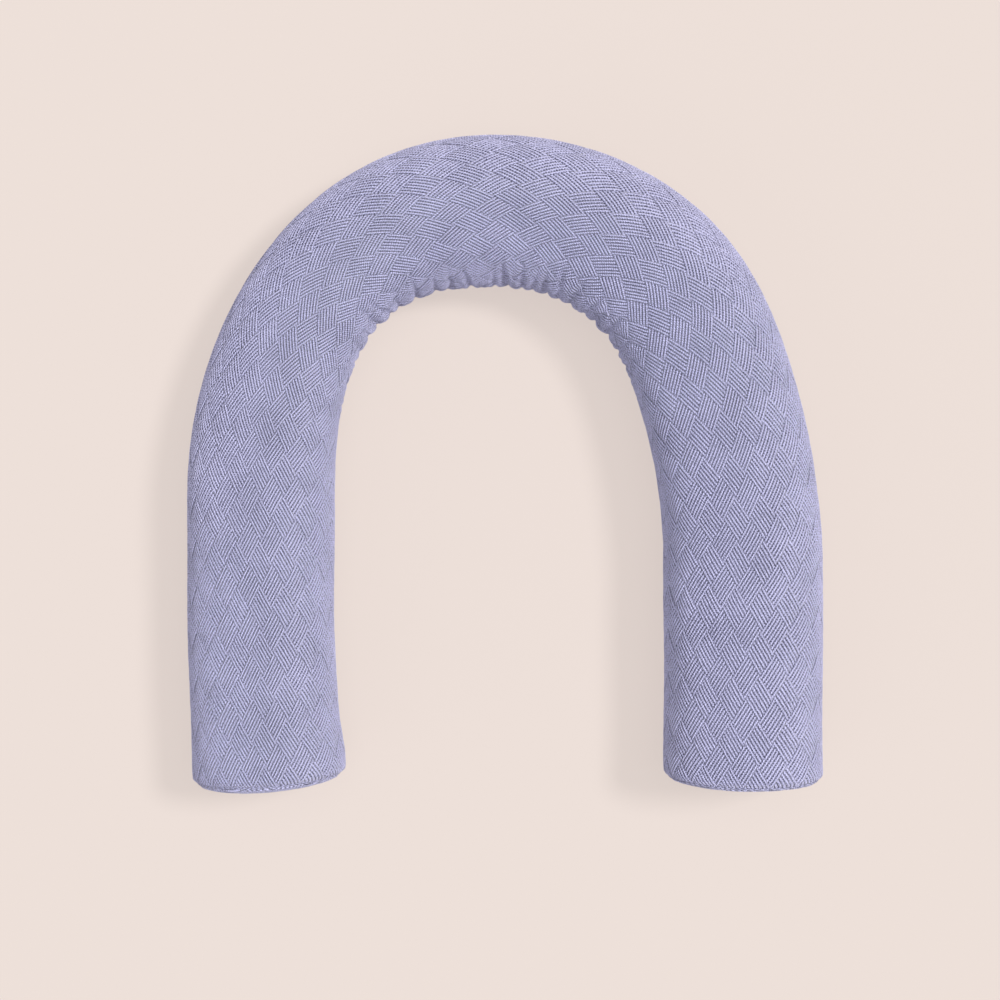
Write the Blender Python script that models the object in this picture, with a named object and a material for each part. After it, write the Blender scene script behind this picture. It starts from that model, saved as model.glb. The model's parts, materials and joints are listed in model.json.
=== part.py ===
"""Nursing pillow: a soft round bolster bent into a U, lying flat on a surface.

A zipped jacquard cover with two round end panels holds a sewn liner, which holds the filling.
Metres, +Z up, +Y towards the crown of the U. The origin is under the middle of the outline.
Cover, liner and filling are cut at the crown by one upright cylinder around the flex hinge, so
that the right half can swing about the left half as the soft tube bends.
"""
import math
from collections import namedtuple

import bmesh
import bpy
from mathutils import Matrix, Vector

# The tube's axis: half an ellipse from leg to leg, then two legs.
ARCH_HALF_WIDTH = 0.266
ARCH_RISE = 0.317
LEG_LENGTH = 0.3125
LEFT_LEG_LEAN = 0.007

# The soft tube sways off that line: out at the left shoulder, where it is also slimmer, and in at
# the right one.
LEFT_SWAY = 0.012
LEFT_PINCH = 0.0065
LEFT_SWAY_SPAN = (-1.0, 0.0)
RIGHT_SWAY = -0.010
RIGHT_SWAY_SPAN = (0.42, 1.2)
STATION_NUDGE = 1e-4

# The tube's round section, which settles a little where it lies on the surface.
CROWN_RADIUS = 0.0825
LEFT_RADIUS = 0.0800
RIGHT_RADIUS = 0.0865
SETTLE = 0.005

# Walls and clearances.
COVER_WALL = 0.0020
LINER_WALL = 0.0008
END_BULGE = 0.008
FACE_GAP = 0.0003

# Flex hinge at the crown.
HINGE_REACH = 1.2
HALVES_GAP = 0.0009
FILLING_CUT_BACK = 0.0015

# Zip in the long seam, low on the outer side of the right leg.
ZIP_FACET = -3
ZIP_END_MARGIN = 0.030
ZIP_TOP_MARGIN = 0.010
TAPE_OVERRUN = 0.008
TAPE_THICKNESS = 0.0006
TAPE_WIDTH = 0.0116
COIL_WIDTH = 0.0024
COIL_HEIGHT = 0.0019
STOP_LENGTH = 0.0030
POST_WIDTH = 0.0008
RUNNING_GAP = 0.0004
SLOT_CLEARANCE = 0.0007

# Slider and pull tab.
SLIDER_LENGTH = 0.0120
SLIDER_PLATE = 0.0010
FLANGE_THICKNESS = 0.0007
FLANGE_SINK = 0.0001
POST_LENGTH = 0.0030
BRIDGE_LENGTH = 0.0072
BRIDGE_WIDTH = 0.0024
BRIDGE_BAR = 0.0008
BRIDGE_FOOT = 0.0010
TAB_LENGTH = 0.0150
TAB_THICKNESS = 0.0009
TAB_ARM = 0.0012
TAB_TIP_STEPS = 8

# Mesh density.
SIDES = 24
ARCH_STEPS = 10
LEG_STATIONS = {-1: (1.25, 1.5, 1.75, 2.0), 1: (1.1, RIGHT_SWAY_SPAN[1], 2.0)}
CUT_STEPS = 2
CAP_SHARES = (1.0, 0.75, 0.5, 0.25)
BISECTIONS = 40
SMOOTH_ANGLE = math.radians(40)

# Worked out from the sizes above.
Layer = namedtuple("Layer", "inset floor")
STEP_ANGLE = math.tau / SIDES
ANGLES = [STEP_ANGLE * i for i in range(SIDES)]
FACET_SHARE = math.cos(STEP_ANGLE / 2)

CHAIN_GAP = POST_WIDTH + 2 * FACE_GAP
ZIP_LENGTH = LEG_LENGTH * (2.0 - RIGHT_SWAY_SPAN[1]) - ZIP_END_MARGIN - ZIP_TOP_MARGIN
TAPE_EDGE = CHAIN_GAP / 2 + TAPE_WIDTH
FACET_EDGE = (RIGHT_RADIUS - COVER_WALL) * math.sin(STEP_ANGLE / 2)
TAPE_DROP = FACE_GAP + max(TAPE_EDGE - FACET_EDGE, 0.0) * math.tan(STEP_ANGLE)

# Heights of the zip's pieces over the cover's outer facet.
TAPE_TOP = -(COVER_WALL + TAPE_DROP)
TAPE_BOTTOM = TAPE_TOP - TAPE_THICKNESS
COIL_BOTTOM = TAPE_TOP + FACE_GAP
COIL_TOP = COIL_BOTTOM + COIL_HEIGHT
PLATE_BOTTOM = COIL_TOP + RUNNING_GAP
PLATE_TOP = PLATE_BOTTOM + SLIDER_PLATE
UNDER_PLATE_TOP = TAPE_BOTTOM - RUNNING_GAP
UNDER_PLATE_BOTTOM = UNDER_PLATE_TOP - SLIDER_PLATE
SLIDER_WIDTH = CHAIN_GAP + 2 * (COIL_WIDTH + RUNNING_GAP + FLANGE_THICKNESS)
SLOT_WIDTH = SLIDER_WIDTH + 2 * SLOT_CLEARANCE
LINER_INSET = -UNDER_PLATE_BOTTOM + 2 * FACE_GAP

COVER_OUTSIDE = Layer(0.0, 0.0)
COVER_INSIDE = Layer(COVER_WALL, COVER_WALL)
LINER_OUTSIDE = Layer(LINER_INSET, COVER_WALL + FACE_GAP)
LINER_INSIDE = Layer(LINER_INSET + LINER_WALL, LINER_OUTSIDE.floor + LINER_WALL)
FILL_OUTSIDE = Layer(LINER_INSIDE.inset + FACE_GAP, LINER_INSIDE.floor + FACE_GAP)

FILL_OFFSET = -LINER_WALL - FACE_GAP
END_REACH = FACE_GAP + COVER_WALL + END_BULGE
PLAN_SHIFT = Vector((
    (LEFT_RADIUS - RIGHT_RADIUS) / 2,
    (LEG_LENGTH + END_REACH - ARCH_RISE - CROWN_RADIUS) / 2,
    0.0,
))
HINGE = PLAN_SHIFT + Vector((0.0, ARCH_RISE, 0.0))

COVER_COLOUR = (0.36, 0.35, 0.54, 1.0)
LINER_COLOUR = (0.86, 0.86, 0.84, 1.0)
FILL_COLOUR = (0.93, 0.93, 0.92, 1.0)
TAPE_COLOUR = (0.42, 0.41, 0.58, 1.0)
COIL_COLOUR = (0.50, 0.49, 0.64, 1.0)
METAL_COLOUR = (0.62, 0.62, 0.64, 1.0)


def smooth(share):
    """Ease from 0 to 1 with no slope at either end."""
    share = min(max(share, 0.0), 1.0)
    return share * share * (3.0 - 2.0 * share)


def side_of(station):
    """-1 on the left of the crown, 1 on the right."""
    return -1 if station < 0 else 1


# Stations run along the tube: -2 at the left end, -1 and 1 where the legs begin, 0 at the crown
# and 2 at the right end.


def plain_axis_point(station):
    """The axis in plan without its sway."""
    side = side_of(station)
    turn = math.radians(90) * min(abs(station), 1.0)
    leg = max(abs(station) - 1.0, 0.0)
    lean = LEFT_LEG_LEAN * leg * leg if side < 0 else 0.0
    x = side * ARCH_HALF_WIDTH * math.sin(turn) + lean
    y = ARCH_RISE * math.cos(turn) - LEG_LENGTH * leg
    return PLAN_SHIFT + Vector((x, y, 0.0))


def direction_of(line, station):
    """Unit vector along a line of stations, from the left end towards the right end."""
    return (line(station + STATION_NUDGE) - line(station - STATION_NUDGE)).normalized()


def away_from(direction):
    """The level unit vector square to the axis, away from the waist."""
    return Vector((-direction.y, direction.x, 0.0))


def hump(station, span):
    """Rises from 0 to 1 and back over a span of stations."""
    start, end = span
    share = min(max((station - start) / (end - start), 0.0), 1.0)
    return math.sin(math.pi * share) ** 2


def sway(station):
    """How far the axis lies outside its plain line."""
    return LEFT_SWAY * hump(station, LEFT_SWAY_SPAN) + RIGHT_SWAY * hump(station, RIGHT_SWAY_SPAN)


def axis_point(station):
    """The tube's axis in plan."""
    away = away_from(direction_of(plain_axis_point, station))
    return plain_axis_point(station) + away * sway(station)


def tube_radius(station):
    """The section's radius, which eases from the crown to each leg and dips at the left shoulder."""
    leg_radius = LEFT_RADIUS if station < 0 else RIGHT_RADIUS
    plain = CROWN_RADIUS + (leg_radius - CROWN_RADIUS) * smooth(abs(station))
    return plain - LEFT_PINCH * hump(station, LEFT_SWAY_SPAN)


def section_point(station, angle, layer, share=1.0, forward=0.0):
    """A point of one layer. Angle 0 faces away from the waist and 90 degrees faces up.

    Share runs from 0 on the axis to 1 on the layer's surface, and forward moves it along the axis.
    """
    direction = direction_of(axis_point, station)
    away = away_from(direction)
    reach = tube_radius(station) - layer.inset
    height = tube_radius(station) - SETTLE
    rise = max(reach * math.sin(angle), layer.floor - height)
    point = axis_point(station) + away * (reach * math.cos(angle) * share) + direction * forward
    point.z = height + rise * share
    return point


def cut_station(angle, layer, share, reach):
    """The station left of the crown where this line of the layer is reach away from the hinge."""
    near, far = 0.0, -1.0
    for _ in range(BISECTIONS):
        middle = (near + far) / 2
        offset = section_point(middle, angle, layer, share) - HINGE
        if offset.xy.length < reach:
            near = middle
        else:
            far = middle
    return (near + far) / 2


def cut_reach(side):
    """The radius of the cut: the left half stays outside it and the right half inside."""
    return HINGE_REACH * CROWN_RADIUS - side * HALVES_GAP / 2


def filling_reach(side):
    """The same for the filling, whose cut faces are the largest and so stay a little further apart."""
    return cut_reach(side) - side * FILLING_CUT_BACK


def cut_ring(side, layer, step=0):
    """One ring near the cut. Step 0 lies on the cut, and later steps move evenly to the crown."""
    ring = []
    for angle in ANGLES:
        station = cut_station(angle, layer, 1.0, cut_reach(side))
        station *= 1.0 - step / CUT_STEPS
        ring.append(section_point(station, angle, layer))
    return ring


def filling_cut_ring(side, share):
    """One ring inside the filling's cut face."""
    ring = []
    for angle in ANGLES:
        station = cut_station(angle, FILL_OUTSIDE, share, filling_reach(side))
        ring.append(section_point(station, angle, FILL_OUTSIDE, share))
    return ring


def pulled_back(ring, next_ring, reach):
    """The ring moved along its lines to the next ring until each point is reach from the hinge."""
    moved = []
    for start, end in zip(ring, next_ring):
        near, far = 0.0, 1.0
        rising = (end - HINGE).xy.length > (start - HINGE).xy.length
        for _ in range(BISECTIONS):
            middle = (near + far) / 2
            beyond = (start.lerp(end, middle) - HINGE).xy.length > reach
            if beyond == rising:
                far = middle
            else:
                near = middle
        moved.append(start.lerp(end, (near + far) / 2))
    return moved


def plain_ring(station, layer):
    """One ring square to the axis."""
    return [section_point(station, angle, layer) for angle in ANGLES]


def stations_of(side):
    """The stations of one half's square rings, from the cut to its end."""
    first = 0
    if side < 0:
        deepest = max(-cut_station(a, COVER_OUTSIDE, 1.0, cut_reach(side)) for a in ANGLES)
        first = math.ceil(deepest * ARCH_STEPS + 0.3)
    arch = [side * i / ARCH_STEPS for i in range(first, ARCH_STEPS + 1)]
    legs = [side * station for station in LEG_STATIONS[side]]
    return arch + legs


def end_dome(side, angle, layer, share):
    """How far the bulged end stands out on this line of a layer, which is nothing at the seam."""
    station = 2.0 * side
    axis = section_point(station, angle, layer, 0.0)
    seam = section_point(station, angle, COVER_OUTSIDE) - axis
    here = section_point(station, angle, layer, share) - axis
    return END_BULGE * (1.0 - (here.length / seam.length) ** 2)


def end_ring(side, layer, share, offset):
    """One ring of a bulged end. Offset counts outwards from the bulge that starts at the seam."""
    ring = []
    for angle in ANGLES:
        forward = offset + end_dome(side, angle, layer, share)
        ring.append(section_point(2.0 * side, angle, layer, share, side * forward))
    return ring


def end_middle(side, layer, offset):
    """The tip of a bulged end."""
    return section_point(2.0 * side, 0.0, layer, 0.0, side * (offset + END_BULGE))


def half_rings(side, layer, end):
    """All rings of one half of a layer, from the cut to the ring given for its end."""
    rings = [cut_ring(side, layer)]
    if side > 0:
        rings += [cut_ring(side, layer, step=i) for i in range(1, CUT_STEPS)]
    rings += [plain_ring(station, layer) for station in stations_of(side)[:-1]]
    rings.append(end)
    return rings


def add_ring(shape, points):
    return [shape.verts.new(point) for point in points]


def bridge(shape, first, second):
    """Quads between two rings of the same length."""
    for i in range(len(first)):
        j = (i + 1) % len(first)
        shape.faces.new((first[i], first[j], second[j], second[i]))


def loft(shape, rings):
    """Skin a list of rings of vertices."""
    for first, second in zip(rings, rings[1:]):
        bridge(shape, first, second)


def close_to_point(shape, ring, point):
    """A fan from a ring to one point."""
    tip = shape.verts.new(point)
    for i in range(len(ring)):
        shape.faces.new((ring[i], ring[(i + 1) % len(ring)], tip))


def make_material(name, colour, roughness, metallic=0.0):
    material = bpy.data.materials.new(name)
    material.use_nodes = True
    shader = material.node_tree.nodes["Principled BSDF"]
    shader.inputs["Base Color"].default_value = colour
    shader.inputs["Roughness"].default_value = roughness
    shader.inputs["Metallic"].default_value = metallic
    return material


def make_object(name, shape, material, parent=None, smooth_shading=True):
    """An object from a bmesh. Under a parent, the mesh is in the parent's own frame."""
    bmesh.ops.recalc_face_normals(shape, faces=shape.faces)
    mesh = bpy.data.meshes.new(name)
    shape.to_mesh(mesh)
    shape.free()
    mesh.materials.append(material)
    if smooth_shading:
        mesh.shade_smooth()
        mesh.set_sharp_from_angle(angle=SMOOTH_ANGLE)
    thing = bpy.data.objects.new(name, mesh)
    bpy.context.scene.collection.objects.link(thing)
    thing.parent = parent
    return thing


def make_empty(name, location, parent=None):
    thing = bpy.data.objects.new(name, None)
    bpy.context.scene.collection.objects.link(thing)
    thing.location = location
    thing.parent = parent
    return thing


def add_half(name, shape, material, side, hinge):
    """A piece of one half. The right half's pieces hang from the hinge's empty."""
    if side > 0:
        shape.transform(Matrix.Translation(-HINGE))
    return make_object(name, shape, material, hinge if side > 0 else None)


def shell(side, outside, inside, outside_end, inside_end):
    """An open tube with a wall, for one half of the cover or the liner."""
    shape = bmesh.new()
    outer = [add_ring(shape, ring) for ring in half_rings(side, outside, outside_end)]
    inner = [add_ring(shape, ring) for ring in half_rings(side, inside, inside_end)]
    loft(shape, outer)
    loft(shape, inner)
    bridge(shape, outer[0], inner[0])
    bridge(shape, outer[-1], inner[-1])
    return shape


def cover_tube(side):
    """Half of the cover's tube, cut square at its end, where the end panel is sewn on."""
    outside_end = plain_ring(2.0 * side, COVER_OUTSIDE)
    inside_end = plain_ring(2.0 * side, COVER_INSIDE)
    return shell(side, COVER_OUTSIDE, COVER_INSIDE, outside_end, inside_end)


def liner_tube(side):
    """Half of the liner's tube, whose end follows the back of the liner's end disc."""
    outside_end = end_ring(side, LINER_OUTSIDE, 1.0, FILL_OFFSET)
    inside_end = end_ring(side, LINER_INSIDE, 1.0, FILL_OFFSET)
    return shell(side, LINER_OUTSIDE, LINER_INSIDE, outside_end, inside_end)


def end_disc(side, layer, inside_offset, outside_offset):
    """A bulged round panel across one end."""
    shape = bmesh.new()
    rims = []
    for offset in (inside_offset, outside_offset):
        rings = [add_ring(shape, end_ring(side, layer, share, offset)) for share in CAP_SHARES]
        loft(shape, rings)
        close_to_point(shape, rings[-1], end_middle(side, layer, offset))
        rims.append(rings[0])
    bridge(shape, rims[0], rims[1])
    return shape


def filling(side):
    """One half of the filling: solid, round at the cut and bulged at its end."""
    shape = bmesh.new()
    layer = FILL_OUTSIDE
    cut_cap = [filling_cut_ring(side, share) for share in reversed(CAP_SHARES[1:])]
    skin = half_rings(side, layer, end_ring(side, layer, 1.0, FILL_OFFSET))
    skin[0] = pulled_back(skin[0], skin[1], filling_reach(side))
    end_cap = [end_ring(side, layer, share, FILL_OFFSET) for share in CAP_SHARES[1:]]
    rings = [add_ring(shape, ring) for ring in cut_cap + skin + end_cap]
    loft(shape, rings)
    middle_station = cut_station(0.0, layer, 0.0, filling_reach(side))
    cut_middle = section_point(middle_station, 0.0, layer, 0.0)
    close_to_point(shape, rings[0], cut_middle)
    close_to_point(shape, rings[-1], end_middle(side, layer, FILL_OFFSET))
    return shape


def make_soft_pieces(hinge, materials):
    """Cover, liner and filling, in a left and a right half. Returns the right half's cover."""
    cover = None
    for side, word in ((-1, "left"), (1, "right")):
        panel = end_disc(side, COVER_OUTSIDE, FACE_GAP, FACE_GAP + COVER_WALL)
        disc = end_disc(side, LINER_OUTSIDE, -LINER_WALL, 0.0)
        cover = add_half("cover_tube_" + word, cover_tube(side), materials["cover"], side, hinge)
        add_half("cover_end_" + word, panel, materials["cover"], side, hinge)
        add_half("liner_tube_" + word, liner_tube(side), materials["liner"], side, hinge)
        add_half("liner_end_" + word, disc, materials["liner"], side, hinge)
        add_half("filling_" + word, filling(side), materials["filling"], side, hinge)
    return cover


def box_shape(low, high):
    shape = bmesh.new()
    bmesh.ops.create_cube(shape, size=1.0)
    for vert in shape.verts:
        for axis in range(3):
            middle = (low[axis] + high[axis]) / 2
            vert.co[axis] = middle + vert.co[axis] * (high[axis] - low[axis])
    return shape


def make_box(name, low, high, material, parent):
    return make_object(name, box_shape(low, high), material, parent, smooth_shading=False)


def boolean(thing, name, low, high, operation, parent):
    """Join or cut a box by a modifier. The box itself stays a hidden guide."""
    guide = make_object(name, box_shape(low, high), thing.data.materials[0], parent, smooth_shading=False)
    guide.display_type = "WIRE"
    guide.hide_render = True
    modifier = thing.modifiers.new(name, "BOOLEAN")
    modifier.operation = operation
    modifier.solver = "EXACT"
    modifier.object = guide
    return guide


def make_zip_line(hinge):
    """The zip's frame: origin on the cover's facet at the zip's middle, X across, Y along, Z out."""
    angle = STEP_ANGLE * (ZIP_FACET + 0.5)
    from_axis = RIGHT_RADIUS * FACET_SHARE
    middle = axis_point(2.0)
    middle.y += ZIP_END_MARGIN + ZIP_LENGTH / 2
    middle.x += from_axis * math.cos(angle)
    middle.z = RIGHT_RADIUS - SETTLE + from_axis * math.sin(angle)
    line = make_empty("zip_line", middle - HINGE, hinge)
    line.rotation_euler = (0.0, math.radians(90) - angle, 0.0)
    return line


def cut_zip_slot(cover, line):
    """The slot in the cover's seam through which the zip shows."""
    half_width = SLOT_WIDTH / 2
    half_length = ZIP_LENGTH / 2 + FACE_GAP
    depth = 2 * COVER_WALL
    boolean(cover, "slot_cutter", (-half_width, -half_length, -depth), (half_width, half_length, depth),
            "DIFFERENCE", line)


def make_chain(line, materials):
    """Tapes, coils and stops, which stay with the cover."""
    half = ZIP_LENGTH / 2
    tape_half = half + TAPE_OVERRUN
    coil_in = CHAIN_GAP / 2
    coil_out = coil_in + COIL_WIDTH
    for side, word in ((-1, "lower"), (1, "upper")):
        def across(first, second):
            """The two edges in rising order, on this side of the middle."""
            return tuple(sorted((-side * first, -side * second)))
        tape = across(coil_in, coil_in + TAPE_WIDTH)
        coil = across(coil_in, coil_out)
        make_box("zip_tape_" + word, (tape[0], -tape_half, TAPE_BOTTOM), (tape[1], tape_half, TAPE_TOP),
                 materials["tape"], line)
        make_box("zip_coil_" + word, (coil[0], -half + STOP_LENGTH + FACE_GAP, COIL_BOTTOM),
                 (coil[1], half - STOP_LENGTH - FACE_GAP, COIL_TOP), materials["coil"], line)
        make_box("zip_top_stop_" + word, (coil[0], -half, COIL_BOTTOM),
                 (coil[1], -half + STOP_LENGTH, COIL_TOP), materials["metal"], line)
    make_box("zip_bottom_stop", (-coil_out, half - STOP_LENGTH, COIL_BOTTOM), (coil_out, half, COIL_TOP),
             materials["metal"], line)


def make_slider(line, materials):
    """The slider at its closed place, beside the top stops. Returns the bridge's opening height."""
    start = -ZIP_LENGTH / 2 + STOP_LENGTH + FACE_GAP + SLIDER_LENGTH / 2
    rider = make_empty("zip_slider_place", (0.0, start, 0.0), line)
    half_width = SLIDER_WIDTH / 2
    half_length = SLIDER_LENGTH / 2
    slider = make_box("zip_slider", (-half_width, -half_length, PLATE_BOTTOM),
                      (half_width, half_length, PLATE_TOP), materials["metal"], rider)
    boolean(slider, "under_plate", (-half_width, -half_length, UNDER_PLATE_BOTTOM),
            (half_width, half_length, UNDER_PLATE_TOP), "UNION", rider)
    sink = SLIDER_PLATE / 2
    boolean(slider, "post", (-POST_WIDTH / 2, half_length - POST_LENGTH, UNDER_PLATE_TOP - sink),
            (POST_WIDTH / 2, half_length - sink, PLATE_BOTTOM + sink), "UNION", rider)
    flange_bottom = TAPE_TOP + RUNNING_GAP
    for side, word in ((-1, "near"), (1, "far")):
        edges = sorted((side * (half_width - FLANGE_THICKNESS), side * (half_width - FLANGE_SINK)))
        boolean(slider, "flange_" + word, (edges[0], -half_length + sink, flange_bottom),
                (edges[1], half_length - sink, PLATE_BOTTOM + sink), "UNION", rider)
    add_bridge(slider, rider)
    return rider


def bridge_opening():
    """The height of the hole under the bridge, in which the tab's crossbar turns."""
    return TAB_THICKNESS + 2 * FACE_GAP


def add_bridge(slider, rider):
    """The arch on the slider that holds the pull tab."""
    half_width = BRIDGE_WIDTH / 2
    half_length = BRIDGE_LENGTH / 2
    sink = SLIDER_PLATE / 2
    top = PLATE_TOP + bridge_opening() + BRIDGE_BAR
    boolean(slider, "bridge_block", (-half_width, -half_length, PLATE_TOP - sink),
            (half_width, half_length, top), "UNION", rider)
    hole = half_length - BRIDGE_FOOT
    boolean(slider, "bridge_hole", (-BRIDGE_WIDTH, -hole, PLATE_TOP),
            (BRIDGE_WIDTH, hole, PLATE_TOP + bridge_opening()), "DIFFERENCE", rider)


def make_pull_tab(rider, materials):
    """The pull tab, hanging straight out from the slider. Its origin is on its hinge's axis."""
    arm_inside = BRIDGE_WIDTH / 2 + FACE_GAP
    half_width = arm_inside + TAB_ARM
    half_thickness = TAB_THICKNESS / 2
    straight = TAB_LENGTH - half_width
    outline = [(-half_width, -half_thickness), (half_width, -half_thickness)]
    for i in range(TAB_TIP_STEPS + 1):
        turn = math.pi * i / TAB_TIP_STEPS
        outline.append((half_width * math.cos(turn), straight + half_width * math.sin(turn)))
    shape = bmesh.new()
    near = [shape.verts.new((x, -half_thickness, z)) for x, z in outline]
    face = shape.faces.new(near)
    moved = bmesh.ops.extrude_face_region(shape, geom=[face])["geom"]
    verts = [part for part in moved if isinstance(part, bmesh.types.BMVert)]
    bmesh.ops.translate(shape, verts=verts, vec=(0.0, TAB_THICKNESS, 0.0))
    pivot = make_empty("pull_tab_pivot", (0.0, 0.0, PLATE_TOP + bridge_opening() / 2), rider)
    tab = make_object("zip_pull_tab", shape, materials["metal"], pivot, smooth_shading=False)
    bridge_corner = math.hypot(BRIDGE_LENGTH / 2, bridge_opening() / 2 + BRIDGE_BAR)
    window_end = bridge_corner + RUNNING_GAP
    boolean(tab, "tab_window", (-arm_inside, -TAB_THICKNESS, half_thickness),
            (arm_inside, TAB_THICKNESS, window_end), "DIFFERENCE", pivot)


def main():
    for thing in list(bpy.data.objects):
        bpy.data.objects.remove(thing, do_unlink=True)
    materials = {
        "cover": make_material("cover_knit", COVER_COLOUR, 0.85),
        "liner": make_material("liner_cloth", LINER_COLOUR, 0.8),
        "filling": make_material("filling_beads", FILL_COLOUR, 0.7),
        "tape": make_material("zip_tape", TAPE_COLOUR, 0.8),
        "coil": make_material("zip_coil", COIL_COLOUR, 0.4),
        "metal": make_material("zip_metal", METAL_COLOUR, 0.35, 1.0),
    }
    hinge = make_empty("crown_hinge", HINGE)
    right_cover = make_soft_pieces(hinge, materials)
    line = make_zip_line(hinge)
    cut_zip_slot(right_cover, line)
    make_chain(line, materials)
    rider = make_slider(line, materials)
    make_pull_tab(rider, materials)


main()
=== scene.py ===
"""Looks of the nursing pillow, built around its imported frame. Metres, in the row frame.

The cover is one knitted tube. Its puckers inside the arch start as placed creases, and a
relaxation written here then settles the slack knit over the filled tube.
"""
import json
import math

import bpy
import numpy as np
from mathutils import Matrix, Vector


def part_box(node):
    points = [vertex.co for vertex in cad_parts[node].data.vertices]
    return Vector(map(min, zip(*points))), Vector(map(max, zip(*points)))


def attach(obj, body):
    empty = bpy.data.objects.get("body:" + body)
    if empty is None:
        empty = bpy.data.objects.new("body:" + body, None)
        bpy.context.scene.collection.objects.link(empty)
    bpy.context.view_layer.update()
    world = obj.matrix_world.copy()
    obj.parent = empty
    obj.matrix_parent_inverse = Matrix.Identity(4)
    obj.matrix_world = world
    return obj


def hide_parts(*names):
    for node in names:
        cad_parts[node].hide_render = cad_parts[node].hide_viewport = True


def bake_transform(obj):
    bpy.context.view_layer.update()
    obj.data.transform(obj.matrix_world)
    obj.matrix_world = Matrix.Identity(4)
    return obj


# The tube's axis and section, as in the part.
ARCH_HALF_WIDTH = 0.266
ARCH_RISE = 0.317
LEG_LENGTH = 0.3125
LEFT_LEG_LEAN = 0.007
LEFT_SWAY = 0.012
LEFT_PINCH = 0.0065
LEFT_SPAN = (-1.0, 0.0)
RIGHT_SWAY = -0.010
RIGHT_SPAN = (0.42, 1.2)
CROWN_RADIUS = 0.0825
LEFT_RADIUS = 0.0800
RIGHT_RADIUS = 0.0865
SETTLE = 0.005
SETTLE_ROUNDING = 0.0015
AXIS_STEP = 0.0005
AXIS_EASE = 0.014
AXIS_OVERRUN = 2.4
AXIS_SAMPLES = 9601
LUMP_HEIGHT = 0.00035
LUMP_COUNT = 9

# The ends. The tube's mouth leans out by "outer" at its outer side and by "top" on top, all of it
# moved in by "back". "bulge" is how far the filling pushes the round end panel out.
EDGE_ROUNDING = 0.010
EDGE_DROP = 0.0050
END_SPAN = (1.75, 2.0)
LEFT_END = {"outer": 0.0015, "top": 0.0035, "back": 0.0038, "bulge": 0.0085}
RIGHT_END = {"outer": 0.0015, "top": 0.0055, "back": 0.0055, "bulge": 0.0045}
LEFT_FLARE = 0.0080
FLARE_PLACE = 0.012
FLARE_LENGTH = 0.045
PANEL_RINGS = 64
PANEL_GAP = 0.0005
PANEL_LUMP = 0.0012

# The knit: rhombic cells of ribs, in a checkerboard.
CELL_ALONG = 0.0484
CELLS_AROUND = 17
STEPS_PER_CELL = 28
RIBS_PER_CELL = 7
STITCH_LENGTH = 0.0027
RIB_HEIGHT = 0.00120
CELL_HEIGHT = 0.00085
KNIT_SINK = 0.0012
GRAIN_SPREAD = 0.08
RIGHT_TWIST = 0.20
TWIST_SPAN = (0.5, 2.0)
KNIT_EASE = 0.004
WHOLE_CELLS = 40
# KNIT_DARK is reached mostly in the grooves and pits: partly the knit's darker yarn, partly painted
# shade in these recesses.
KNIT_LIGHT = (0.715, 0.700, 1.000, 1.0)
KNIT_DARK = (0.024, 0.022, 0.078, 1.0)

# The creases inside the arch, and the relaxation of the slack cover.
SIM_SKIP_ALONG = 2
SIM_SKIP_AROUND = 4
SIM_STEPS = 260
SLACK_SHARE = 0.40
SLACK_SPAN = 1.3
KEPT_SPEED = 0.90
HOLD_SLACK = 0.012
HOLD_TIGHT = 0.10
STRETCH_STIFFNESS = 0.7
SHEAR_STIFFNESS = 0.15
BEND_STIFFNESS_ALONG = 0.22
BEND_STIFFNESS_AROUND = 0.12
BEND_SHORTENING = 0.985
PRESSURE = 0.00002
SINK_LIMIT = 0.0064
RISE_LIMIT = 0.0035
CREASE_GAPS = (0.017, 0.038)
CREASE_STRENGTH = (0.4, 1.0)
CREASE_REACH = (0.18, 0.52)
CREASE_LEAN = (-0.014, 0.014)
CREASE_DEPTH = 0.0095
CREASE_WIDTH = 0.0046
CREASE_RISE = -0.0004
CREASE_SPAN = (-0.85, 0.80)
CREASE_FADE = 0.38
SEED = 11

# The long seam and the zip's opening in it.
SEAM_ANGLE = math.radians(-37.5)
SEAM_DEPTH = 0.0012
SEAM_WIDTH = 0.0022
LIP_DROP = 0.0026
LIP_WIDTH = 0.006
OPENING_COLUMNS = 4
OPENING_EASE = 0.004
OPENING_MARGIN = 0.0003

# Stitches (length, pitch and thread radius) and the roll of cloth along each end's seam.
END_STITCH = (0.0030, 0.0040, 0.00030)
SEAM_STITCH = (0.0028, 0.0038, 0.00032)
STITCH_SIDES = 6
STITCH_RAISE = 0.0002
ROLL_RADIUS = 0.0009
ROLL_SHIFT = 0.0004

# What lies inside the cover, and how the soft pieces bend.
LINER_INSET = 0.0068
FILLING_INSET = 0.0080
BAG_DOME = 0.003
BAG_ROWS = 241
BAG_SIDES = 96

# Nothing of the looks goes under the surface that the pillow lies on.
CLOTH_LOWEST = 0.0002
THREAD_LOWEST = 0.0001
FLOOR_HEIGHT = -0.0004
FLOOR_HALF = 30.0


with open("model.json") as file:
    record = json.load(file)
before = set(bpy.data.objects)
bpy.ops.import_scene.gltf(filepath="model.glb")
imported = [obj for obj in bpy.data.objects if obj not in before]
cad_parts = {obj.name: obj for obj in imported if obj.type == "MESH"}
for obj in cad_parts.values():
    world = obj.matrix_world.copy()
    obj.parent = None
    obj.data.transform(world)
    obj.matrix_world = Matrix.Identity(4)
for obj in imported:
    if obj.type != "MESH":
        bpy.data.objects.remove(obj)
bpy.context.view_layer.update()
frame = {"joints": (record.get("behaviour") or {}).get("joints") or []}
joints = {joint["name"]: joint for joint in frame["joints"]}
HINGE = np.array(joints["crown_flex"]["pos_m"][:2])
MIDDLE = HINGE - (0.0, ARCH_RISE)


# ---------------------------------------------------------------- the tube


def smooth(x):
    x = np.clip(x, 0.0, 1.0)
    return x * x * (3.0 - 2.0 * x)


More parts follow.
